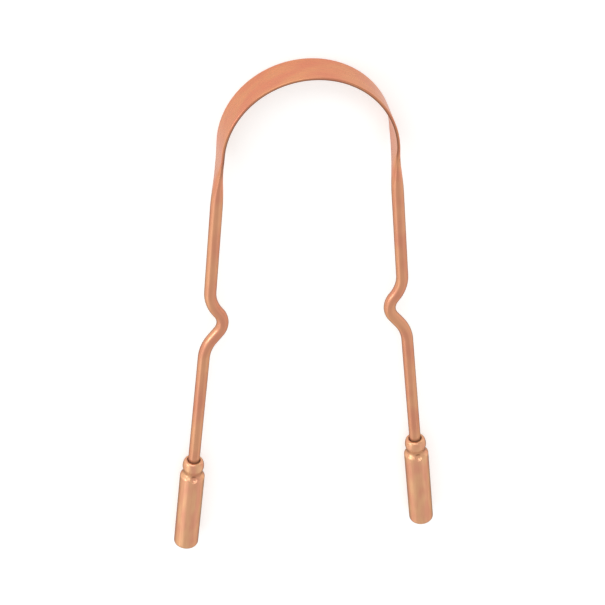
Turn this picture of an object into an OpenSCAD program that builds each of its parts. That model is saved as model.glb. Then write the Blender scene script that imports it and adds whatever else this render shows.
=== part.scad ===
// Tongue scraper: one copper wire, flattened across its middle into an arched scraping blade,
// kinked in both legs for the fingers, and ending in two hollow copper grips.
// It lies flat: X runs across, +Y runs from the grips to the arch, and the legs lie in one level plane.

/* [Wire] */
// Diameter of the round wire
wire_d = 3; // [2.4:0.1:3.4]
// Length of wire inside each grip, past the grip's mouth
wire_in_grip = 20; // [14:0.5:25]

/* [Blade] */
// Width of the flattened blade, from one scraping edge to the other
blade_w = 9.7; // [6:0.1:12]
// Thickness of the flattened blade
blade_t = 0.75; // [0.5:0.05:1.2]
// Radius of the arch, to the middle of the blade's thickness
arch_r = 20.6; // [16:0.1:26]
// Length of leg over which the flat blade swells back into round wire
taper_len = 16; // [8:0.5:30]

/* [Legs] */
// Angle by which the upper leg leans outward
upper_splay = 4.8; // [0:0.1:8]
// Length of the upper leg, from the arch to the first corner of the kink
upper_leg = 43.4; // [38:0.1:60]
// How far the kink steps inward
kink_in = 4.25; // [3:0.05:5]
// How far down the leg the kink takes to step inward
kink_in_drop = 6.2; // [6:0.1:9]
// How far the kink steps out again
kink_out = 5.75; // [4:0.05:7]
// How far down the leg the kink takes to step out
kink_out_drop = 7.1; // [6:0.1:10]
// Bend radius where the upper leg turns into the kink
kink_top_r = 9.2; // [5:0.1:10]
// Bend radius at the tip of the kink
kink_tip_r = 4.7; // [3:0.1:5]
// Bend radius where the kink turns into the lower leg
kink_low_r = 10.5; // [5:0.1:14]
// Length of the lower leg, from the last corner of the kink to the grip's mouth
lower_leg = 36.2; // [28:0.1:50]
// Angle by which the lower leg leans outward
lower_splay = 6; // [0:0.1:10]

/* [Grips] */
// Length of a grip, from its mouth to its closed end
grip_len = 28.8; // [27:0.1:40]
// Diameter of the grip's straight barrel
grip_d = 6.5; // [6:0.1:8]
// Wall thickness of the grip
grip_wall = 0.9; // [0.6:0.05:1.1]
// Outer rounding of the closed end
end_round = 1.1; // [1:0.05:2.5]
// Diameter of the bead around the mouth, where it is widest
bead_d = 5.6; // [5.4:0.1:6]
// Distance from the mouth to the bead's widest ring
bead_at = 2; // [1.6:0.1:2.4]
// Width of the plain lip left around the mouth
lip_w = 0.35; // [0.3:0.05:0.5]
// Gap between the wire and the mouth, on each side
mouth_gap = 0.15; // [0.1:0.05:0.3]
// Diameter of the rolled neck between the bead and the barrel
neck_d = 4.9; // [4.8:0.05:5.2]
// Distance from the mouth to the bottom of the neck
neck_at = 3.8; // [3.6:0.1:4.4]
// Distance from the neck to the full width of the barrel
shoulder_len = 1.5; // [1.3:0.1:2]
// Running clearance between the wire and the neck's bore, on each side
neck_gap = 0.05; // [0.02:0.01:0.1]

/* [Stake mark] */
// Radius of the ball of the punch that marks the shoulder
stake_r = 1.3; // [1:0.1:1.5]
// How far the punch went in, from the level of the barrel
stake_deep = 0.9; // [0.7:0.05:0.95]
// Distance from the mouth to the centre of the punch
stake_at = 4.3; // [4.1:0.1:4.9]

/* [Hidden] */
$fn = 64;

// Sides of each ring of a skin, rings along the taper, and the turn between two rings of a bend
skin_sides = 24;
taper_rings = 14;
bend_step = 8;
// Each skin runs straight for this far on both sides of where the blade or the straight wire meets it
skin_lap = 0.2;
// How much slimmer a skin is than what it meets, so that no face of one lies on a face of the other
skin_shy = 0.02;
// Straight pieces in each round stretch of the grip's outline
round_steps = 8;

wire_r = wire_d / 2;
// Area of the section in the blade and in the wire, which are nearly alike: rolling only moves the metal
blade_area = blade_t * (blade_w - blade_t) + PI * pow(blade_t / 2, 2);
wire_area = PI * pow(wire_r, 2);
grip_r = grip_d / 2;
bead_r = bead_d / 2;
neck_r = neck_d / 2;

// The kink's two slopes, as angles from the length of the leg
in_angle = atan(kink_in / kink_in_drop);
out_angle = atan(kink_out / kink_out_drop);
in_slope = norm([kink_in, kink_in_drop]);
out_slope = norm([kink_out, kink_out_drop]);
// What each bend turns through, and how much straight it takes up on either side of its corner
top_turn = in_angle + upper_splay;
tip_turn = in_angle + out_angle;
low_turn = out_angle - lower_splay;
top_take = kink_top_r * tan(top_turn / 2);
tip_take = kink_tip_r * tan(tip_turn / 2);
low_take = kink_low_r * tan(low_turn / 2);

// Places along the right leg, each an X and a Y from the centre of the arch and the leg's lean there
blade_end = [arch_r * cos(upper_splay), arch_r * sin(upper_splay), upper_splay];
taper_end = ahead(blade_end, taper_len);
kink_start = ahead(blade_end, upper_leg - top_take);
inward = turned(kink_start, kink_top_r, -top_turn);
tip_start = ahead(inward, in_slope - top_take - tip_take);
outward = turned(tip_start, kink_tip_r, tip_turn);
low_start = ahead(outward, out_slope - tip_take - low_take);
kink_end = turned(low_start, kink_low_r, -low_turn);
mouth = ahead(kink_end, lower_leg - low_take);

// Reach of the part to either side of the arch's centre, which sets the origin under its middle
reach_up = arch_r + blade_t / 2;
reach_down = (grip_len - end_round) * cos(lower_splay) + (grip_r - end_round) * sin(lower_splay)
    + end_round - mouth[1];
arch_y = (reach_down - reach_up) / 2;
axis_z = max(blade_w, grip_d) / 2;

// Bores of the grip
mouth_r = wire_r + mouth_gap;
neck_bore_r = wire_r + neck_gap;
cavity_r = grip_r - grip_wall;
lip_r = mouth_r + lip_w;
// The neck's bore is straight for one wall thickness on either side of the neck
bore_start = neck_at - grip_wall;
bore_end = neck_at + grip_wall;

function mix(a, b, share) = a + (b - a) * share;
function ease(share) = share * share * (3 - 2 * share);

// A quarter of an ellipse from one point to another, across the axis first and then along it
function out_then_along(from, to) = [
    for (step = [0 : round_steps])
        let (turn = 90 * step / round_steps)
            [mix(from[0], to[0], sin(turn)), mix(from[1], to[1], 1 - cos(turn))]
];
// The same quarter, along the axis first and then across it
function along_then_in(from, to) = [
    for (step = [0 : round_steps])
        let (turn = 90 * step / round_steps)
            [mix(from[0], to[0], 1 - cos(turn)), mix(from[1], to[1], sin(turn))]
];

// A soft step from one point to another, level at both ends
function soft_step(from, to) = [
    for (step = [1 : round_steps])
        let (share = step / round_steps)
            [mix(from[0], to[0], (1 - cos(180 * share)) / 2), mix(from[1], to[1], share)]
];

// The place a length further down the leg, and the place at the end of a bend
// A positive turn leads outward, a negative one inward
function ahead(place, length) = [
    place[0] + length * sin(place[2]),
    place[1] - length * cos(place[2]),
    place[2]
];
function turned(place, radius, turn) =
    let (side = sign(turn), after = place[2] + turn)
        [
            place[0] + side * radius * (cos(place[2]) - cos(after)),
            place[1] + side * radius * (sin(place[2]) - sin(after)),
            after
        ];
function along_bend(place, radius, turn) =
    let (steps = ceil(abs(turn) / bend_step))
        [for (step = [0 : steps]) turned(place, radius, turn * step / steps)];

// The width of a flattened wire of a given thickness, from the area of its section
function width_for(area, thick) = thick + (area - PI * pow(thick / 2, 2)) / thick;

// One ring of a skin at a place: the section of a wire flattened to a width and a thickness
function ring_at(place, width, thick) = [
    for (side = [0 : skin_sides - 1])
        let (
            turn = 360 * (side + 0.5) / skin_sides,
            edge_r = (thick - skin_shy) / 2,
            across = edge_r * cos(turn),
            up = edge_r * sin(turn) + sign(sin(turn)) * (width - thick) / 2
        )
            [place[0] + across * cos(place[2]), place[1] + across * sin(place[2]), up]
];

// The section of a flattened wire, with fully round edges
module flat_section(width, thick) {
    square([thick, width - thick], center = true);
    for (edge = [-1, 1])
        translate([0, edge * (width - thick) / 2])
            circle(d = thick);
}

// Moves what follows to the centre of the arch
module on_arch() {
    translate([0, arch_y, axis_z])
        children();
}

// Draws what follows on the right and again, mirrored, on the left
module both_sides() {
    children();
    mirror([1, 0, 0])
        children();
}

module blade() {
    rotate([0, 0, upper_splay])
        rotate_extrude(angle = 180 - 2 * upper_splay)
            translate([arch_r, 0])
                flat_section(blade_w, blade_t);
}

// A closed skin stretched over a list of rings
module skin(rings) {
    last = (len(rings) - 1) * skin_sides;
    walls = [
        for (ring = [0 : len(rings) - 2], side = [0 : skin_sides - 1])
            let (next = (side + 1) % skin_sides, here = ring * skin_sides, there = here + skin_sides)
                each [[here + side, there + side, here + next], [here + next, there + side, there + next]]
    ];
    near_end = [for (side = [1 : skin_sides - 2]) [0, side, side + 1]];
    far_end = [for (side = [1 : skin_sides - 2]) [last, last + side + 1, last + side]];
    polyhedron(points = [for (ring = rings) each ring], faces = concat(walls, near_end, far_end));
}

// The stretch that swells from the blade's section to the wire's
module taper() {
    swell_len = taper_len - 2 * skin_lap;
    lengths = concat(
        [-skin_lap],
        [for (ring = [0 : taper_rings]) skin_lap + swell_len * ring / taper_rings],
        [taper_len + skin_lap]
    );
    skin([
        for (length = lengths)
            let (
                swell = ease(max(0, min(1, (length - skin_lap) / swell_len))),
                thick = mix(blade_t, wire_d, swell),
                area = mix(blade_area, wire_area, swell)
            )
                ring_at(ahead(blade_end, length), width_for(area, thick), thick)
    ]);
}

// The two slopes and three bends of the finger stop
module kink() {
    places = concat(
        [ahead(kink_start, -2 * skin_lap)],
        along_bend(kink_start, kink_top_r, -top_turn),
        along_bend(tip_start, kink_tip_r, tip_turn),
        along_bend(low_start, kink_low_r, -low_turn),
        [ahead(kink_end, 2 * skin_lap)]
    );
    skin([for (place = places) ring_at(place, wire_d, wire_d)]);
}

// A straight run of round wire down the leg from a place
module run(place, length) {
    translate([place[0], place[1], 0])
        rotate([90, 0, place[2]])
            cylinder(d = wire_d, h = length);
}

// The right leg, from the end of the blade to the end of the wire inside the grip
module leg() {
    taper();
    run(taper_end, upper_leg - taper_len - top_take - skin_lap);
    kink();
    run(ahead(kink_end, skin_lap), lower_leg - low_take + wire_in_grip - skin_lap);
}

module scraper_wire() {
    color("#cf8a66")
        on_arch() {
            blade();
            both_sides()
                leg();
        }
}

// The grip's outline, as radius and distance from the mouth
module grip_outline() {
    outside = concat(
        out_then_along([lip_r, 0], [bead_r, bead_at]),
        soft_step([bead_r, bead_at], [neck_r, neck_at]),
        soft_step([neck_r, neck_at], [grip_r, neck_at + shoulder_len]),
        along_then_in([grip_r, grip_len - end_round], [grip_r - end_round, grip_len])
    );
    inner_round = end_round - grip_wall;
    inside = concat(
        [[0, grip_len], [0, grip_len - grip_wall]],
        [[cavity_r - inner_round, grip_len - grip_wall], [cavity_r, grip_len - end_round]],
        [[cavity_r, neck_at + shoulder_len + grip_wall], [neck_bore_r, bore_end]],
        [[neck_bore_r, bore_start], [mouth_r, bead_at], [mouth_r, 0]]
    );
    polygon(concat(outside, inside));
}

// A grip with its mouth at the start and its closed end down the leg, and the punch mark on its upper side
module grip() {
    rotate([90, 0, 0])
        difference() {
            rotate_extrude()
                grip_outline();
            translate([0, grip_r - stake_deep + stake_r, stake_at])
                sphere(r = stake_r);
        }
}

module right_grip() {
    color("#cd8a6c")
        on_arch()
            translate([mouth[0], mouth[1], 0])
                rotate([0, 0, mouth[2]])
                    grip();
}

module left_grip() {
    color("#cd8a6c")
        on_arch()
            mirror([1, 0, 0])
                translate([mouth[0], mouth[1], 0])
                    rotate([0, 0, mouth[2]])
                        grip();
}

scraper_wire();
left_grip();
right_grip();
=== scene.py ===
# %% [markdown]
# # A copper tongue scraper
#
# The real object is one copper wire. Its middle is rolled flat and bent into an arch: the scraping
# blade. Both legs have a kink for the fingers, and each ends in a short copper tube that serves as a
# grip. The lesson builds four meshes: the left and the right half of the wire, and the two grips. The
# wire is split at the top of the arch, into one half for each leg. Lengths are written in millimetres
# and turned to metres by one factor, because Blender works in metres.

# %% Load the imported model as the frame
import math
from collections import namedtuple

import bpy
import numpy as np
from mathutils import Matrix, Vector


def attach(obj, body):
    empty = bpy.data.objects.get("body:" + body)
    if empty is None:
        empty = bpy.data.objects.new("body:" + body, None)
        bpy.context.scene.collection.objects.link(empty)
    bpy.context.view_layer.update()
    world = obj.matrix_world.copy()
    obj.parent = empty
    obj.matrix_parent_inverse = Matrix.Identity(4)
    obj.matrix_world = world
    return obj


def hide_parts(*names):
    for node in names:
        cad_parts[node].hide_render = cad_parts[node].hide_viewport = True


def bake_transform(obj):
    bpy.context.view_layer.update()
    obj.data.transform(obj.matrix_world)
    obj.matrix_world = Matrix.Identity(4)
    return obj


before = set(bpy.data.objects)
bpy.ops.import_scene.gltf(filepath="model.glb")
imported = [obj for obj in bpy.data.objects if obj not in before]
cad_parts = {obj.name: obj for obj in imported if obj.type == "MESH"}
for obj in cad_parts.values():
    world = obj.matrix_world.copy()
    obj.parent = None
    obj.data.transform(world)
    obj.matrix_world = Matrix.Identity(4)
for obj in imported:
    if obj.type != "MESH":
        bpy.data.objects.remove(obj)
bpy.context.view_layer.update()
MM = 0.001
print("nodes:", sorted(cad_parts))

# %% [markdown]
# ## Camera
#
# The photograph looks down at the lying scraper from beyond the arch, 54 degrees above the floor. A 105
# mm lens on a 36 mm sensor gives the weak perspective that the two grips show. The camera could be
# aimed with a constraint, but three plain vectors leave nothing to update later: one points from the
# object to the camera, one to the right of the picture and one up the picture. The lean is measured
# from straight above, toward the arch.

# %% Camera
LENS_MM, SENSOR_MM = 105, 36
CAMERA_SIDE, CAMERA_LEAN, CAMERA_ROLL = (math.radians(v) for v in (-9.379, 35.023, 0.440))
CAMERA_DISTANCE = 436.73 * MM
TARGET = Vector((-1.065, 5.5465, 4.85)) * MM
NEAREST, FURTHEST = 0.01, 10

to_camera = Vector((
    math.sin(CAMERA_SIDE) * math.cos(CAMERA_LEAN),
    math.sin(CAMERA_LEAN),
    math.cos(CAMERA_SIDE) * math.cos(CAMERA_LEAN),
))
level_right = Vector((0, 1, 0)).cross(to_camera).normalized()
level_up = to_camera.cross(level_right)
picture_right = level_right * math.cos(CAMERA_ROLL) + level_up * math.sin(CAMERA_ROLL)
picture_up = level_up * math.cos(CAMERA_ROLL) - level_right * math.sin(CAMERA_ROLL)

camera = bpy.data.objects.new("camera", bpy.data.cameras.new("camera"))
camera.data.lens, camera.data.sensor_width = LENS_MM, SENSOR_MM
camera.data.clip_start, camera.data.clip_end = NEAREST, FURTHEST
camera.matrix_world = Matrix.Translation(TARGET + to_camera * CAMERA_DISTANCE) @ Matrix(
    (picture_right, picture_up, to_camera)
).transposed().to_4x4()
bpy.context.scene.collection.objects.link(camera)
bpy.context.scene.camera = camera
print("camera at", [round(v / MM, 1) for v in camera.matrix_world.translation], "mm")

# %% [markdown]
# ## Small helpers for materials
#
# Every finish below is a small network of shader nodes. One function adds a node, gives it its
# settings, and fills or links its inputs, so that a network reads from top to bottom. Colours are
# written as the hex values that a paint program shows, and one function turns them to linear light by
# the sRGB standard's curve.

# %% Helpers for materials
def linear(hex_colour):
    """An sRGB hex colour as linear red, green, blue and alpha."""
    parts = [int(hex_colour[i : i + 2], 16) / 255 for i in (1, 3, 5)]
    return [p / 12.92 if p <= 0.04045 else ((p + 0.055) / 1.055) ** 2.4 for p in parts] + [1.0]


def add_node(tree, kind, inputs=None, **settings):
    """Adds one node. An input is given a value, or the output socket that it is linked to."""
    made = tree.nodes.new(kind)
    for name, value in settings.items():
        setattr(made, name, value)
    for socket, value in (inputs or {}).items():
        if isinstance(value, bpy.types.NodeSocket):
            tree.links.new(value, made.inputs[socket])
        else:
            made.inputs[socket].default_value = value
    return made


def new_material(name):
    """An empty node material and its tree."""
    made = bpy.data.materials.new(name)
    made.use_nodes = True
    made.node_tree.nodes.clear()
    return made, made.node_tree


print("mid grey #808080 in linear light:", round(linear("#808080")[0], 3))

# %% [markdown]
# ## White paper
#
# The photograph has a pure white ground. A photographer gets it with white paper that curves up into a
# wall. Metal shows what stands round it, so the paper matters twice: it is the background, and the
# copper mirrors it. It is a plain diffuse white. A little emission, seen only by the camera and in
# reflections, lifts it to full white and leaves the soft shadow of the object on it.

# %% White paper
PAPER_WHITE, PAPER_LIFT = "#DCDCDA", 0.46

paper, tree = new_material("white_paper")
path = add_node(tree, "ShaderNodeLightPath")
seen = path.outputs["Is Camera Ray"]
for way in ("Is Glossy Ray", "Is Transmission Ray"):
    either = {0: seen, 1: path.outputs[way]}
    seen = add_node(tree, "ShaderNodeMath", either, operation="MAXIMUM").outputs[0]
lift = add_node(tree, "ShaderNodeMath", {0: seen, 1: PAPER_LIFT}, operation="MULTIPLY")
matte = add_node(tree, "ShaderNodeBsdfDiffuse", {"Color": linear(PAPER_WHITE)})
glow = add_node(tree, "ShaderNodeEmission", {"Color": linear("#FFFFFF"), "Strength": lift.outputs[0]})
both = add_node(tree, "ShaderNodeAddShader", {0: matte.outputs[0], 1: glow.outputs[0]})
add_node(tree, "ShaderNodeOutputMaterial", {"Surface": both.outputs[0]})
print("paper material:", paper.name, "with", len(tree.nodes), "nodes")

# %% [markdown]
# ## Rings joined into a skin
#
# The paper, the wire and the grips are all made in one way: rings of points, one after the other, that
# faces join. Blender's Spin and Screw could turn the paper and the grips, but not the wire, whose
# section changes on its way. One pair of helpers does all three. The second one also stores named
# values on the points, for the materials.

# %% Rings joined into a skin
def ring_faces(rings, around, last_filled=True):
    """Faces that join rings of equally many points. The first ring is filled, and the last one if asked."""
    made = []
    for low in range(0, (rings - 1) * around, around):
        for k in range(around):
            after = (k + 1) % around
            made.append((low + k, low + after, low + around + after, low + around + k))
    made.append(tuple(range(around - 1, -1, -1)))
    if last_filled:
        last = (rings - 1) * around
        made.append(tuple(range(last, last + around)))
    return made


def new_piece(name, points, faces, values):
    """A smooth mesh object. values holds, under a name, a number or three numbers for each point."""
    mesh = bpy.data.meshes.new(name)
    mesh.from_pydata(points, [], faces)
    mesh.shade_smooth()
    for title, held in values.items():
        held = np.array(held, "f")
        kind, field = ("FLOAT", "value") if held.ndim == 1 else ("FLOAT_VECTOR", "vector")
        mesh.attributes.new(title, kind, "POINT").data.foreach_set(field, held.ravel())
    made = bpy.data.objects.new(name, mesh)
    bpy.context.scene.collection.objects.link(made)
    return made


print("faces in a closed tube of 2 rings of 4 points:", len(ring_faces(2, 4)))

# %% [markdown]
# ## The paper's shape
#
# The paper lies flat round the object and curves up into a low wall on every side. The real scraper
# rests on the edges of its blade and on both grips, so it tips a little. The frame is level, so here
# the paper leans instead, by less than a degree, and meets the blade and the grips.

# %% The paper's shape
PAPER_FLAT_R, PAPER_CURVE_R, PAPER_WALL, PAPER_CENTRE_R = 0.85, 0.20, 0.30, 0.001
PAPER_SIDES, CURVE_STEPS = 96, 12
BLADE_FOOT, GRIP_FOOT = (51.09 * MM, 0.0), (-67.0 * MM, 1.6 * MM)

profile = [(PAPER_CENTRE_R, 0.0), (PAPER_FLAT_R, 0.0)]
for turn in np.linspace(0, math.pi / 2, CURVE_STEPS + 1)[1:]:
    profile.append((PAPER_FLAT_R + PAPER_CURVE_R * math.sin(turn), PAPER_CURVE_R * (1 - math.cos(turn))))
profile.append((PAPER_FLAT_R + PAPER_CURVE_R, PAPER_WALL))
turns = [2 * math.pi * k / PAPER_SIDES for k in range(PAPER_SIDES)]
points = [(r * math.cos(turn), r * math.sin(turn), z) for r, z in profile for turn in turns]
sweep = new_piece("paper_sweep", points, ring_faces(len(profile), PAPER_SIDES, last_filled=False), {})
sweep.data.materials.append(paper)
lean = math.atan2(GRIP_FOOT[1] - BLADE_FOOT[1], BLADE_FOOT[0] - GRIP_FOOT[0])
sweep.matrix_world = (
    Matrix.Translation((0, BLADE_FOOT[0], BLADE_FOOT[1]))
    @ Matrix.Rotation(-lean, 4, "X")
    @ Matrix.Translation((0, -BLADE_FOOT[0], 0))
)
print("paper leans by", round(math.degrees(lean), 2), "degrees")

# %% [markdown]
# ## Light
#
# Polished copper shows little of its own colour. It mirrors what stands round it, and tints that. So
# the lights are boxes with a size and a place, and not one sun, which would leave a single hard glint.
# A long box on the left gives the streak down the left third of every wire and grip. A small key box at
# its far end lights what tilts toward the arch: the kinks, the beads and the shoulders. A wide, flat
# box beyond the arch draws the bright line along the blade's edge and fills the punch marks. A weak box
# on the right keeps the second side of the wires from going dull. All four are a slightly cool white,
# as daylight is, which makes the streaks paler than the copper between. The sky above the paper is a
# pale grey, so that the metal keeps darker places between the lights.

# %% Light
SKY_LEVEL, COOL_WHITE = 0.75, "#F0FCFF"


def soft_box(name, at, size, power):
    """A rectangular light that faces the object. Its first side lies across, its second along +Y."""
    data = bpy.data.lights.new(name, "AREA")
    data.shape, data.size, data.size_y, data.energy = "RECTANGLE", size[0], size[1], power
    data.color = linear(COOL_WHITE)[:3]
    made = bpy.data.objects.new(name, data)
    back = (Vector(at) - TARGET).normalized()
    across = Vector((0, 1, 0)).cross(back).normalized()
    facing = Matrix((across, back.cross(across), back)).transposed().to_4x4()
    made.matrix_world = Matrix.Translation(at) @ facing
    made.visible_camera = False
    bpy.context.scene.collection.objects.link(made)
    return made


world = bpy.data.worlds.new("grey_sky")
bpy.context.scene.world = world
world.use_nodes = True
world.node_tree.nodes.clear()
sky = add_node(world.node_tree, "ShaderNodeBackground", {"Color": linear("#FFFFFF"), "Strength": SKY_LEVEL})
add_node(world.node_tree, "ShaderNodeOutputWorld", {"Surface": sky.outputs[0]})

boxes = [
    soft_box("left_box", (-0.64, -0.14, 0.36), (0.40, 1.00), 0.72),
    soft_box("key_box", (-0.69, 0.20, 0.25), (0.28, 0.28), 0.78),
    soft_box("arch_box", (-0.18, 0.54, 0.46), (0.70, 0.18), 1.34),
    soft_box("right_box", (0.55, -0.20, 0.45), (0.22, 0.90), 0.16),
]
print("lights:", [(box.name, round(box.data.energy, 2)) for box in boxes])

# %% [markdown]
# ## Steps along a leg
#
# Each leg is bent on a jig: straight runs with arcs between them. A curve object with a bevel could
# follow it, but it can't turn the round wire into a flat blade on the way. So the wire is built as a
# list of places. A place is an X and a Y from the centre of the arch, the lean of the leg there, and
# the distance that lies between it and the top of the arch. The last two helpers below add a straight
# run or a bend to the list, and start where the last place lies.

# %% Steps along a leg
Place = namedtuple("Place", "x y lean gone")


def ahead(place, length):
    """The place a length further down the leg."""
    x, y, lean, gone = place
    slope = math.radians(lean)
    return Place(x + length * math.sin(slope), y - length * math.cos(slope), lean, gone + length)


def turned(place, radius, turn):
    """The place at the end of a bend. A positive turn leads outward."""
    x, y, lean, gone = place
    a, b, side = math.radians(lean), math.radians(lean + turn), math.copysign(1, turn)
    return Place(
        x + side * radius * (math.cos(a) - math.cos(b)),
        y + side * radius * (math.sin(a) - math.sin(b)),
        lean + turn,
        gone + radius * abs(b - a),
    )


def shares(whole, step):
    """Even shares of a whole, about a step apart, without the zero."""
    return np.linspace(0, whole, max(2, round(abs(whole) / step) + 1))[1:]


def run(places, length, step):
    """Adds a straight run to a route."""
    start = places[-1]
    places += [ahead(start, s) for s in shares(length, step)]


def bend(places, radius, turn, step):
    """Adds a bend to a route. Turn and step are in degrees."""
    start = places[-1]
    places += [turned(start, radius, t) for t in shares(turn, step)]


print("a quarter turn at 10 mm ends at", [round(v, 3) for v in turned(Place(0, 0, 0, 0), 10, 90)])

# %% [markdown]
# ## The wire's route
#
# From the top down: the arch, a run in which the blade swells back into wire, the upper leg, the kink
# with its three bends, the lower leg, and the end that the grip hides. The sizes are those of the CAD
# part. A bend takes a bit off the run before it and the run after it: its radius times the tangent of
# half its turn.

# %% The wire's route
WIRE_D, WIRE_IN_GRIP = 3.0, 20.0
BLADE_W, BLADE_T, ARCH_R, TAPER_LEN = 9.7, 0.75, 20.6, 16.0
UPPER_SPLAY, UPPER_LEG = 4.8, 43.4
KINK_IN, KINK_IN_DROP, KINK_OUT, KINK_OUT_DROP = 4.25, 6.2, 5.75, 7.1
KINK_TOP_R, KINK_TIP_R, KINK_LOW_R = 9.2, 4.7, 10.5
LOWER_LEG, LOWER_SPLAY = 36.2, 6.0
ARCH_Y, AXIS_Z = 49.3619, 4.85
ARCH_STEP, BEND_STEP = 1.4, 3
CLOSE_STEP, LEG_STEP, HIDDEN_STEP = 0.4, 1.0, 4.0

in_angle = math.degrees(math.atan2(KINK_IN, KINK_IN_DROP))
out_angle = math.degrees(math.atan2(KINK_OUT, KINK_OUT_DROP))
top_turn, tip_turn, low_turn = in_angle + UPPER_SPLAY, in_angle + out_angle, out_angle - LOWER_SPLAY
top_take, tip_take, low_take = (
    radius * math.tan(math.radians(turn / 2))
    for radius, turn in ((KINK_TOP_R, top_turn), (KINK_TIP_R, tip_turn), (KINK_LOW_R, low_turn))
)

route = [Place(0.0, ARCH_R, 90.0, 0.0)]
bend(route, ARCH_R, UPPER_SPLAY - 90, ARCH_STEP)
blade_end = route[-1]
run(route, TAPER_LEN, CLOSE_STEP)
run(route, UPPER_LEG - TAPER_LEN - top_take, LEG_STEP)
bend(route, KINK_TOP_R, -top_turn, BEND_STEP)
run(route, math.hypot(KINK_IN, KINK_IN_DROP) - top_take - tip_take, CLOSE_STEP)
bend(route, KINK_TIP_R, tip_turn, BEND_STEP)
run(route, math.hypot(KINK_OUT, KINK_OUT_DROP) - tip_take - low_take, CLOSE_STEP)
bend(route, KINK_LOW_R, -low_turn, BEND_STEP)
run(route, LOWER_LEG - low_take, LEG_STEP)
mouth = route[-1]
run(route, WIRE_IN_GRIP, HIDDEN_STEP)
print("places on one half:", len(route), "mouth of the grip at", [round(v, 3) for v in mouth])

# %% [markdown]
# ## The wire's section
#
# Rolling a round wire flat leaves two level faces and two edges. The metal only moves, so the section
# keeps its area: where the wire swells out of the blade, its thickness grows smoothly and its width
# follows. The blade's edges are nearly square, with small roundings, and grow round as the wire does.
# The faces bulge a little once the wire swells. Only the outward directions are turned toward an
# ellipse's, because the real bulge is too slight to show in the outline but does show in the light.
# Each ring has the same number of points, shared out by length along the faces and by turn round the
# edges, so that the flat blade, the swelling taper and the round wire join with no step.

# %% The wire's section
FACE_POINTS, CORNER_POINTS, EDGE_POINTS = 3, 12, 2
BLADE_EDGE_R, LEAST_FLAT = 0.22, 0.02
FACE_BULGE, BULGE_PACE, EDGE_PACE = 0.8, 4, 2
BLADE_AREA = BLADE_T * (BLADE_W - BLADE_T) + math.pi * BLADE_T**2 / 4
WIRE_AREA = math.pi * WIRE_D**2 / 4


def ramp(value, low, high):
    """How far a value has come from a low mark to a high one, from 0 to 1."""
    return min(1.0, max(0.0, (value - low) / (high - low)))


def flattened(gone):
    """Width, thickness, edge radius, bulge and flatness, at a distance from the top of the arch."""
    share = ramp(gone, blade_end.gone, blade_end.gone + TAPER_LEN)
    swell = share * share * (3 - 2 * share)
    thick = BLADE_T + (WIRE_D - BLADE_T) * swell
    area = BLADE_AREA + (WIRE_AREA - BLADE_AREA) * swell
    width = thick + (area - math.pi * thick**2 / 4) / thick
    edge_r = BLADE_EDGE_R + (thick / 2 - BLADE_EDGE_R) * min(1, EDGE_PACE * swell)
    edge_r = min(edge_r, thick / 2 - LEAST_FLAT)
    return width, thick, edge_r, FACE_BULGE * min(1, BULGE_PACE * swell), 1 - swell


def quarter_section(width, thick, edge_r, bulge):
    """Points and outward directions, from the middle of a face to the middle of an edge."""
    flat_face, flat_edge = width / 2 - edge_r, thick / 2 - edge_r
    made = [(thick / 2, flat_face * i / FACE_POINTS, 1.0, 0.0) for i in range(FACE_POINTS)]
    for turn in np.linspace(0, math.pi / 2, CORNER_POINTS + 1):
        a, b = math.cos(turn), math.sin(turn)
        made.append((flat_edge + edge_r * a, flat_face + edge_r * b, a, b))
    made += [(flat_edge * (1 - i / EDGE_POINTS), width / 2, 0.0, 1.0) for i in range(1, EDGE_POINTS + 1)]
    bulged = []
    for across, up, n_across, n_up in made:
        oval = Vector((across / thick**2, up / width**2)).normalized()
        outward = Vector((n_across, n_up)).lerp(oval, bulge).normalized()
        bulged.append((across, up, outward.x, outward.y))
    return bulged


def ring(width, thick, edge_r, bulge):
    """The whole section, once round, mirrored from its first quarter."""
    first = quarter_section(width, thick, edge_r, bulge)
    second = [(-across, up, -n_across, n_up) for across, up, n_across, n_up in reversed(first[1:-1])]
    upper = first + second + [(-first[0][0], 0.0, -1.0, 0.0)]
    lower = [(-across, -up, -n_across, -n_up) for across, up, n_across, n_up in upper[1:-1]]
    return upper + lower


print("section area in mm2: blade", round(BLADE_AREA, 2), "wire", round(WIRE_AREA, 2))

# %% [markdown]
# ## The two halves of the wire
#
# Each half sets one ring at every place of the route. Its points keep three values for the finish.
# "straight" is where the point would lie if the wire were pulled straight. The streaks are drawn in it,
# so that they follow the wire round every bend and stay put when the legs flex. "flatness" is 1 on the
# blade and 0 on the round wire. The third value holds a dark brown: painted shade on the inner half of
# the blade's edges, and oxide with painted shade at the root of each leg, just above its grip.

# %% The two halves of the wire
# Painted shade on the inner half of the blade's edges.
EDGE_SHADE, EDGE_SHADE_FADE, EDGE_SHADE_TILTS, EDGE_SHADE_REACH = 0.75, 3, (0.3, 0.6), (-0.10, 0.15)
# Oxide with painted shade at the root of each leg, where the grip's mouth shades it.
ROOT_OXIDE_SHADE, ROOT_OXIDE_SHADE_LEN = 0.6, 0.6


def wire_oxide_shade_amount(across, n_up, gone, flatness):
    """How much dark brown a point of the wire gets: painted shade on the blade, oxide with painted shade at
    the root.
    """
    on_edge = ramp(abs(n_up), *EDGE_SHADE_TILTS) * ramp(-across, *EDGE_SHADE_REACH)
    at_root = ramp(gone, mouth.gone - ROOT_OXIDE_SHADE_LEN, mouth.gone)
    return max(EDGE_SHADE * flatness**EDGE_SHADE_FADE * on_edge, ROOT_OXIDE_SHADE * at_root)


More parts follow.
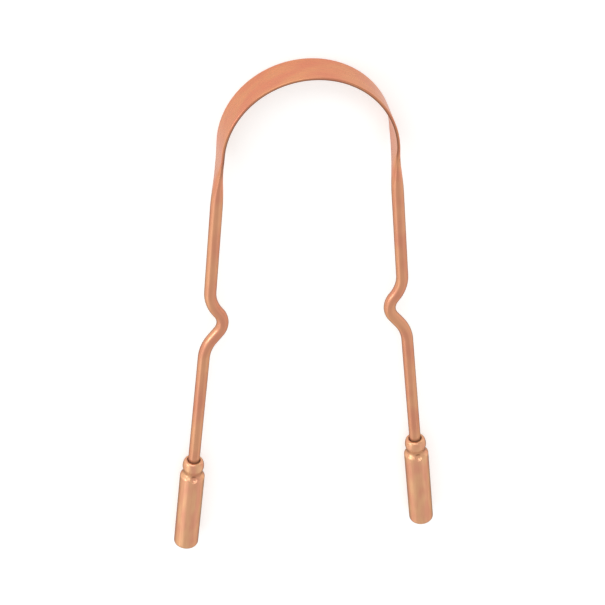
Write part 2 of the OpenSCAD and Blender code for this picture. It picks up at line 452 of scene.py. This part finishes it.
def wire_half(name, side):
    """One half of the wire. side is 1 for the right half and -1 for the left one."""
    points, normals = [], []
    values = {"straight": [], "flatness": [], "oxide_and_painted_shade": []}
    for x, y, lean, gone in route:
        width, thick, edge_r, bulge, flatness = flattened(gone)
        out_x, out_y = math.cos(math.radians(lean)), math.sin(math.radians(lean))
        for across, up, n_across, n_up in ring(width, thick, edge_r, bulge):
            place = Vector((side * (x + across * out_x), ARCH_Y + y + across * out_y, AXIS_Z + up))
            points.append(place * MM)
            normals.append((side * n_across * out_x, n_across * out_y, n_up))
            values["straight"].append((across * MM, up * MM, side * gone * MM))
            values["flatness"].append(flatness)
            values["oxide_and_painted_shade"].append(wire_oxide_shade_amount(across, n_up, gone, flatness))
    faces = ring_faces(len(route), len(points) // len(route))
    if side < 0:
        faces = [tuple(reversed(face)) for face in faces]
    made = new_piece(name, points, faces, values)
    # The two filled ends have more than four corners, and keep the direction of their own face.
    made.data.normals_split_custom_set([
        tuple(face.normal) if len(face.vertices) > 4 else normals[v]
        for face in made.data.polygons
        for v in face.vertices
    ])
    return made


wire_right = wire_half("wire_right_half", 1)
wire_left = wire_half("wire_left_half", -1)
print("faces in each half of the wire:", len(wire_right.data.polygons))

# %% [markdown]
# ## Patterns of the copper
#
# Drawing pulls the wire through a die, which leaves fine scratches along its length. Handling adds
# faint stains. An image would have to be painted and wrapped round each bend. Noise in the "straight"
# values needs neither. Its scale is one over a real spacing: across the wire, up, and along it. Long
# scratches have a long spacing along.

# %% Patterns of the copper
MARK_NOISE, STAIN_NOISE = (3.0, 0.55), (1.0, 0.5)


def copper_patterns(tree, marks_mm, stains_mm):
    """The scratches and the stains, as two grey patterns with the given spacings."""
    place = add_node(tree, "ShaderNodeAttribute", attribute_name="straight").outputs["Vector"]
    patterns = []
    for spacing, (detail, breakup) in ((marks_mm, MARK_NOISE), (stains_mm, STAIN_NOISE)):
        scale = [1 / (gap * MM) for gap in spacing]
        scaled = add_node(tree, "ShaderNodeMapping", {"Vector": place, "Scale": scale}).outputs[0]
        settings = {"Vector": scaled, "Scale": 1.0, "Detail": detail, "Roughness": breakup}
        patterns.append(add_node(tree, "ShaderNodeTexNoise", settings).outputs["Fac"])
    return patterns


print("noise detail: marks", MARK_NOISE[0], "stains", STAIN_NOISE[0])

# %% [markdown]
# ## Colour of the copper
#
# The eye sees a warm metal that is a little pinker here and browner there. Five layers give that.
# Stains mix a clean colour with a pinker one, once for the wire and once, a little deeper, for the
# blade. Flatness chooses between the two. Scratches add a little brown, less on the blade, where the
# rolls wore them off. Last comes one dark brown: oxide inside the grips, oxide with painted shade in
# the grooves and mouths, and painted shade alone on the blade's inner edges and in the punch marks.
# The first four layers lie in this order on the real metal too.

# %% Colour of the copper
BLADE_OCHRE, BLADE_PINK = "#DA9670", "#D78A6D"
STAIN_SPAN, MARK_SPAN, MOST_BROWN = (0.35, 0.65), (0.50, 0.75), 0.3
# A Mix node that mixes colours has them in sockets 6 and 7, and its result in output 2.
BELOW, ABOVE, MIXED = 6, 7, 2


def copper_colour(tree, marks, stains, flat, marks_left, oxide_and_painted_shade, colours):
    """The colour, as an output socket. The colours are clean, pink and scratched metal, then oxide and
    painted shade.
    """
    clean, pink, brown, dark = (linear(colour) for colour in colours)
    span = {"Value": stains, "From Min": STAIN_SPAN[0], "From Max": STAIN_SPAN[1]}
    stained = add_node(tree, "ShaderNodeMapRange", span).outputs[0]
    span = {"Value": marks, "From Min": MARK_SPAN[0], "From Max": MARK_SPAN[1], "To Max": MOST_BROWN}
    scratched = add_node(tree, "ShaderNodeMapRange", span).outputs[0]
    product = {0: scratched, 1: marks_left}
    scratched = add_node(tree, "ShaderNodeMath", product, operation="MULTIPLY").outputs[0]

    layer = {"Factor": stained, BELOW: linear(BLADE_OCHRE), ABOVE: linear(BLADE_PINK)}
    rolled = add_node(tree, "ShaderNodeMix", layer, data_type="RGBA").outputs[MIXED]
    colour = clean
    # The last layer is one dark brown, for oxide and for painted shade.
    for share, above in ((stained, pink), (flat, rolled), (scratched, brown), (oxide_and_painted_shade, dark)):
        layer = {"Factor": share, BELOW: colour, ABOVE: above}
        colour = add_node(tree, "ShaderNodeMix", layer, data_type="RGBA").outputs[MIXED]
    return colour


print("blade ochre in linear light:", [round(v, 2) for v in linear(BLADE_OCHRE)[:3]])

# %% [markdown]
# ## Surface of the copper
#
# Bare copper is a metal with a satin roughness of about 0.3, and it keeps the default IOR. The rolls
# that flatten the blade also polish it, so flatness makes it smoother and its scratches shallower. A
# round wire keeps a thin film of oxide, which takes the light out of its rims, where bare metal would
# shine most. Specular Tint is the colour at a grazing angle, so it goes from a cool grey on the wire to
# a pale one on the blade. Thick oxide is no metal any more, so Metallic falls and the roughness grows
# wherever the dark brown lies, on the painted shade as well as on the oxide. Scratches and shallow
# dents are bumps, because they are far too small to change the outline.

# %% Surface of the copper
FILMED_RIM, BRIGHT_RIM, BRIGHT_RIM_FROM = "#7C939C", "#F3E5DD", 0.33
BLADE_WEAR, MARK_STRENGTH, MARK_DEPTH_MM = 0.7, 0.35, 0.004
ROUGH_SPAN, OXIDE_SHADE_ROUGHNESS, OXIDE_SHADE_COVER = (0.3, 0.7), 0.3, 0.9


def copper(name, marks_mm, stains_mm, roughness, colours, dents_mm):
    """A satin copper. The roughness is given as the least, the most, and a factor for the flat blade."""
    made, tree = new_material(name)
    flat = add_node(tree, "ShaderNodeAttribute", attribute_name="flatness").outputs["Fac"]
    oxide_and_painted_shade = add_node(tree, "ShaderNodeAttribute", attribute_name="oxide_and_painted_shade").outputs["Fac"]
    marks, stains = copper_patterns(tree, marks_mm, stains_mm)
    sums = {0: flat, 1: -BLADE_WEAR, 2: 1.0}
    marks_left = add_node(tree, "ShaderNodeMath", sums, operation="MULTIPLY_ADD").outputs[0]

    least, most, on_blade = roughness
    span = {"From Min": ROUGH_SPAN[0], "From Max": ROUGH_SPAN[1], "To Min": least, "To Max": most}
    rough = add_node(tree, "ShaderNodeMapRange", {"Value": marks, **span}).outputs[0]
    span = {"Value": flat, "To Min": 1.0, "To Max": on_blade}
    polish = add_node(tree, "ShaderNodeMapRange", span).outputs[0]
    rough = add_node(tree, "ShaderNodeMath", {0: rough, 1: polish}, operation="MULTIPLY").outputs[0]
    sums = {0: oxide_and_painted_shade, 1: OXIDE_SHADE_ROUGHNESS, 2: rough}
    rough = add_node(tree, "ShaderNodeMath", sums, operation="MULTIPLY_ADD").outputs[0]

    sums = {0: oxide_and_painted_shade, 1: -OXIDE_SHADE_COVER, 2: 1.0}
    bare = add_node(tree, "ShaderNodeMath", sums, operation="MULTIPLY_ADD").outputs[0]
    bright = add_node(tree, "ShaderNodeMapRange", {"Value": flat, "From Max": BRIGHT_RIM_FROM}).outputs[0]
    layer = {"Factor": bright, BELOW: linear(FILMED_RIM), ABOVE: linear(BRIGHT_RIM)}
    rim = add_node(tree, "ShaderNodeMix", layer, data_type="RGBA").outputs[MIXED]

    product = {0: marks_left, 1: MARK_STRENGTH}
    strength = add_node(tree, "ShaderNodeMath", product, operation="MULTIPLY").outputs[0]
    bump = {"Height": marks, "Strength": strength, "Distance": MARK_DEPTH_MM * MM}
    scratches = add_node(tree, "ShaderNodeBump", bump).outputs[0]
    bump = {"Height": stains, "Strength": 1.0, "Distance": dents_mm * MM, "Normal": scratches}
    dents = add_node(tree, "ShaderNodeBump", bump).outputs[0]
    surface = {
        "Base Color": copper_colour(tree, marks, stains, flat, marks_left, oxide_and_painted_shade, colours),
        "Metallic": bare,
        "Roughness": rough,
        "Specular Tint": rim,
        "Normal": dents,
    }
    shader = add_node(tree, "ShaderNodeBsdfPrincipled", surface)
    add_node(tree, "ShaderNodeOutputMaterial", {"Surface": shader.outputs[0]})
    return made


print("a flat blade keeps", round(1 - BLADE_WEAR, 2), "of its scratches")

# %% [markdown]
# ## Finish of the wire: cold-drawn copper
#
# The eye sees a satin metal with long soft streaks on the round wire, and a smoother band of a deeper
# orange on the blade. Real draw marks are some 0.05 mm apart, too fine for the picture, so they are
# drawn 0.3 mm apart.

# %% Finish of the wire
drawn_copper = copper(
    "cold_drawn_copper_wire",
    marks_mm=(0.30, 0.30, 14.0),
    stains_mm=(4.0, 4.0, 7.0),
    roughness=(0.27, 0.38, 0.85),
    # The last colour is the dark brown of oxide and of painted shade.
    colours=("#E2A47E", "#DB9477", "#C4845F", "#6C4029"),
    dents_mm=0.02,
)
for half in (wire_left, wire_right):
    half.data.materials.append(drawn_copper)
print("wire finish:", drawn_copper.name, "with", len(drawn_copper.node_tree.nodes), "nodes")

# %% [markdown]
# ## The grips' outline
#
# Each grip is a copper tube with a closed, rounded end. A roller has pressed a groove into it near the
# mouth. The bottom of the groove is the neck that grips the wire, and between it and the mouth a bead
# is left standing. A turned form is made by sweeping an outline about an axis. Doing that in code, and
# not with a Screw modifier, lets a punch mark be pressed into the same mesh later. An outline point is
# a radius and a distance from the mouth. The outline starts at the closed end, runs along the outside
# to the mouth, and comes back inside, so that the tube has its real wall.

# %% Lines of an outline
def straight_to(start, end, step):
    """Evenly spaced outline points from one point to another."""
    count = max(1, round(math.dist(start, end) / step))
    start, end = np.array(start), np.array(end)
    return [tuple(start + (end - start) * t) for t in np.linspace(0, 1, count + 1)[1:]]


def quarter_curve(start, end, steps, radius_first):
    """A quarter of an ellipse between two points. It sets out across the axis, or else along it."""
    made = []
    for turn in np.linspace(0, math.pi / 2, steps + 1)[1:]:
        early, late = math.sin(turn), 1 - math.cos(turn)
        share_r, share_s = (early, late) if radius_first else (late, early)
        made.append((start[0] + (end[0] - start[0]) * share_r, start[1] + (end[1] - start[1]) * share_s))
    return made


def soft_step(start, end, steps):
    """A soft step between two points, level at both ends, as a rolled groove has."""
    made = []
    for t in np.linspace(0, 1, steps + 1)[1:]:
        share = (1 - math.cos(math.pi * t)) / 2
        made.append((start[0] + (end[0] - start[0]) * share, start[1] + (end[1] - start[1]) * t))
    return made


print("half way down a soft step from 2 to 1:", round(soft_step((2, 0), (1, 1), 2)[0][0], 2))

# %% The grips' outline
GRIP_LEN, GRIP_D, GRIP_WALL, END_ROUND = 28.8, 6.5, 0.9, 1.1
BEAD_D, BEAD_AT, LIP_W, MOUTH_GAP = 5.6, 2.0, 0.35, 0.15
NECK_D, NECK_AT, SHOULDER_LEN, NECK_GAP = 4.9, 3.8, 1.5, 0.05
STAKE_R, STAKE_DEEP, STAKE_AT = 1.3, 0.9, 4.3
AXIS_R, LIP_EASE_R, LIP_EASE_LEN, PLAIN_FROM = 0.01, 0.05, 0.06, 8.0
END_STEP, BARREL_STEP, MARK_STEP, LIP_STEP = 0.3, 0.6, 0.12, 0.08
THROAT_STEP, THROAT_SLOPE_STEP, INSIDE_STEP, CAVITY_STEP, CAVITY_END_STEP = 0.2, 0.15, 0.3, 2.0, 0.5
END_CURVE, GROOVE_CURVE, BEAD_CURVE, LIP_CURVE = 14, 20, 16, 4
grip_r, bead_r, neck_r = GRIP_D / 2, BEAD_D / 2, NECK_D / 2
mouth_r, neck_bore_r, cavity_r = WIRE_D / 2 + MOUTH_GAP, WIRE_D / 2 + NECK_GAP, GRIP_D / 2 - GRIP_WALL
lip_r, inner_round, cavity_end = mouth_r + LIP_W, END_ROUND - GRIP_WALL, GRIP_LEN - GRIP_WALL

outline = [(AXIS_R, GRIP_LEN)]
outline += straight_to(outline[-1], (grip_r - END_ROUND, GRIP_LEN), END_STEP)
outline += quarter_curve(outline[-1], (grip_r, GRIP_LEN - END_ROUND), END_CURVE, True)
outline += straight_to(outline[-1], (grip_r, PLAIN_FROM), BARREL_STEP)
outline += straight_to(outline[-1], (grip_r, NECK_AT + SHOULDER_LEN), MARK_STEP)
outline += soft_step(outline[-1], (neck_r, NECK_AT), GROOVE_CURVE)
outline += soft_step(outline[-1], (bead_r, BEAD_AT), GROOVE_CURVE)
outline += quarter_curve(outline[-1], (lip_r, 0.0), BEAD_CURVE, False)
outline += straight_to(outline[-1], (mouth_r + LIP_EASE_R, 0.0), LIP_STEP)
outline += quarter_curve(outline[-1], (mouth_r, LIP_EASE_LEN), LIP_CURVE, True)
outside_rings = len(outline) - 1
outline += straight_to(outline[-1], (mouth_r, BEAD_AT), THROAT_STEP)
outline += straight_to(outline[-1], (neck_bore_r, NECK_AT - GRIP_WALL), THROAT_SLOPE_STEP)
outline += straight_to(outline[-1], (neck_bore_r, NECK_AT + GRIP_WALL), INSIDE_STEP)
outline += straight_to(outline[-1], (cavity_r, NECK_AT + SHOULDER_LEN + GRIP_WALL), INSIDE_STEP)
outline += straight_to(outline[-1], (cavity_r, GRIP_LEN - END_ROUND), CAVITY_STEP)
outline += straight_to(outline[-1], (cavity_r - inner_round, cavity_end), INSIDE_STEP)
outline += straight_to(outline[-1], (AXIS_R, cavity_end), CAVITY_END_STEP)
print("rings in a grip:", len(outline), "of which outside:", outside_rings)

# %% [markdown]
# ## The two grips
#
# A ball punch has set one mark into each shoulder, which locks the tube to the wire. The mark is the
# cap of a ball: every point of the outside that lies in the ball is pushed straight down onto it. A
# Boolean modifier could cut the ball out too, but it leaves a ragged rim where the rings of the mesh
# don't meet the ball. A dark brown lies all over the inside as oxide, where no polishing reaches. On
# the lip of the mouth and, weaker, in the groove it is oxide with painted shade. At the upper end of
# the punch mark it is painted shade: the shaded upper wall of the dent.

# %% The two grips
AROUND = 144
# Inside the grip: oxide. In the groove: oxide with painted shade.
INSIDE_FILM, GROOVE_OXIDE_SHADE, GROOVE_OXIDE_SHADE_LEN = 0.75, 0.25, 0.45
# Painted shade on the upper wall of each punch mark.
MARK_SHADE, MARK_SHADE_AT, MARK_SHADE_LEN, MARK_SHADE_W = 0.85, STAKE_AT - 0.35, 0.35, 0.7
# Oxide with painted shade on the lip of the mouth.
LIP_OXIDE_SHADE, LIP_OXIDE_SHADE_W, LIP_OXIDE_SHADE_LEN = 0.6, 0.22, 0.5
# The two grips take their marks from two places of the same noise, this far before and behind zero.
GRIP_MARKS_FROM = 60
ball_z = grip_r - STAKE_DEEP + STAKE_R


def grip_oxide_shade_amount(x, z, r, s):
    """How much dark brown a point of the outside gets: oxide with painted shade, painted shade in the punch
    mark.
    """
    groove = GROOVE_OXIDE_SHADE * math.exp(-(((s - NECK_AT) / GROOVE_OXIDE_SHADE_LEN) ** 2))
    shade_in_mark = MARK_SHADE * math.exp(-(((s - MARK_SHADE_AT) / MARK_SHADE_LEN) ** 2) - (x / MARK_SHADE_W) ** 2) if z > 0 else 0.0
    lip = LIP_OXIDE_SHADE * math.exp(-(((r - mouth_r) / LIP_OXIDE_SHADE_W) ** 2)) if s < LIP_OXIDE_SHADE_LEN else 0.0
    return max(groove, shade_in_mark, lip)


def punched(x, z, s):
    """The height of a point of the outside once the ball has been pressed in."""
    in_ball = STAKE_R**2 - x**2 - (s - STAKE_AT) ** 2
    return min(z, ball_z - math.sqrt(in_ball)) if z > 0 and in_ball > 0 else z


def grip_tube(name, side):
    """One grip, with its mouth on the wire's route. side is 1 for the right one and -1 for the left one."""
    lean = math.radians(mouth.lean)
    down = Vector((side * math.sin(lean), -math.cos(lean), 0))
    across = Vector((math.cos(lean), side * math.sin(lean), 0))
    start = Vector((side * mouth.x, ARCH_Y + mouth.y, AXIS_Z))
    points, values = [], {"straight": [], "oxide_and_painted_shade": []}
    for i, (r, s) in enumerate(outline):
        for k in range(AROUND):
            turn = 2 * math.pi * k / AROUND
            x, z = r * math.sin(turn), r * math.cos(turn)
            outside = i < outside_rings
            if outside:
                z = punched(x, z, s)
            points.append((start + across * x + down * s + Vector((0, 0, z))) * MM)
            values["straight"].append((x * MM, z * MM, (side * GRIP_MARKS_FROM + s) * MM))
            values["oxide_and_painted_shade"].append(grip_oxide_shade_amount(x, z, r, s) if outside else INSIDE_FILM)
    return new_piece(name, points, ring_faces(len(outline), AROUND), values)


grip_right = grip_tube("grip_tube_right", 1)
grip_left = grip_tube("grip_tube_left", -1)
print("faces in each grip:", len(grip_right.data.polygons))

# %% [markdown]
# ## Finish of the grips: burnished copper tube
#
# The tube is softer than the drawn wire and has been tumbled and handled. The eye sees a satin,
# slightly wavy surface with blurred streaks along the barrel, a few shallow dents, and brown in the
# groove and the mouth. It is the wire's copper with wider marks, smaller stains and deeper dents, so
# the same function makes it. Real burnishing marks are under 0.1 mm apart, too fine for the picture, so
# they are drawn 0.4 mm apart.

# %% Finish of the grips
burnished_copper = copper(
    "burnished_copper_tube",
    marks_mm=(0.40, 0.40, 10.0),
    stains_mm=(2.2, 2.2, 6.0),
    roughness=(0.28, 0.38, 1.0),
    # The last colour is the dark brown of oxide and of painted shade.
    colours=("#EAB288", "#E5A182", "#CB8C6D", "#7C4828"),
    dents_mm=0.03,
)
for grip in (grip_left, grip_right):
    grip.data.materials.append(burnished_copper)
print("grip finish:", burnished_copper.name)

# %% [markdown]
# ## Join the pieces to the frame
#
# The grips ride on the bodies of their own CAD nodes, and the CAD grips are hidden. The two halves of
# the wire keep their place in the frame, on no body, and the CAD wire is hidden.

# %% Join the pieces to the frame
for half, hand, side in ((wire_right, "right", 1), (wire_left, "left", -1)):
    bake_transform(half)
    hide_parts("scraper_wire")
for grip, hand in ((grip_right, "right"), (grip_left, "left")):
    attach(grip, hand + "_handle")
    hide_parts(hand + "_grip")

# %% View transform, and the end
bpy.context.scene.view_settings.view_transform = "Standard"
